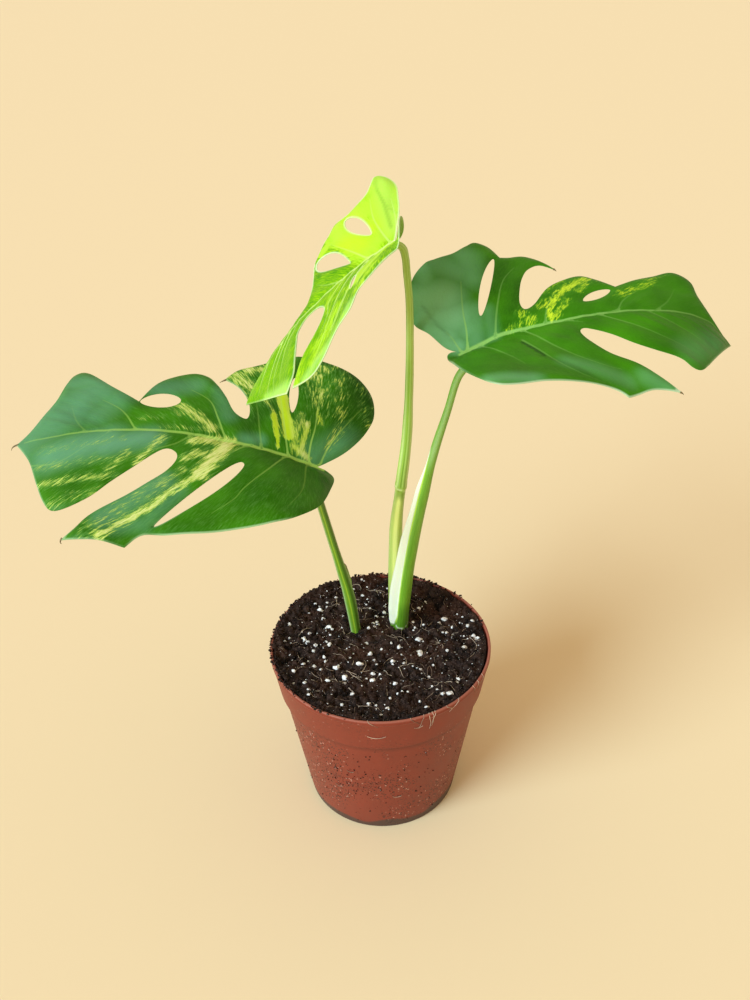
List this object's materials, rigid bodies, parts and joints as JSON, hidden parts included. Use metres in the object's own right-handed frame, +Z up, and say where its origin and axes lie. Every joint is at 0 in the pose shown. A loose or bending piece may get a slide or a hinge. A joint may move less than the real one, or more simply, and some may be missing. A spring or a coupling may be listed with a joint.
{
  "type": "potted swiss cheese plant",
  "caption": "Young aurea swiss cheese plant with lobed, holed leaves on tall stalks, growing from soil in a tapered plastic nursery pot with a flared collar; stands on a flat surface.",
  "frame": {"origin": "centre of the pot's foot, on the surface that the pot stands on", "axes": "+Z up along the pot's axis, -Y to the front, +X to the right as seen from the front"},
  "size_m": [0.3308, 0.1261, 0.3378],
  "materials": {
    "terracotta_plastic": "moulded, satin",
    "potting_soil": "loose, near black, with pale grains",
    "leaf_stalk": "waxy green stem",
    "pale_leaf_stalk": "waxy pale yellow-green stem",
    "variegated_leaf": "waxy green leaf marbled with yellow",
    "golden_leaf": "waxy lime-yellow leaf"
  },
  "bodies": {
    "root": {"pot": "terracotta_plastic", "soil": "potting_soil", "petiole_left": "leaf_stalk", "petiole_centre": "pale_leaf_stalk", "petiole_right": "leaf_stalk", "leaf_left": "variegated_leaf", "leaf_centre": "golden_leaf", "leaf_right": "variegated_leaf"}
  },
  "joints": []
}
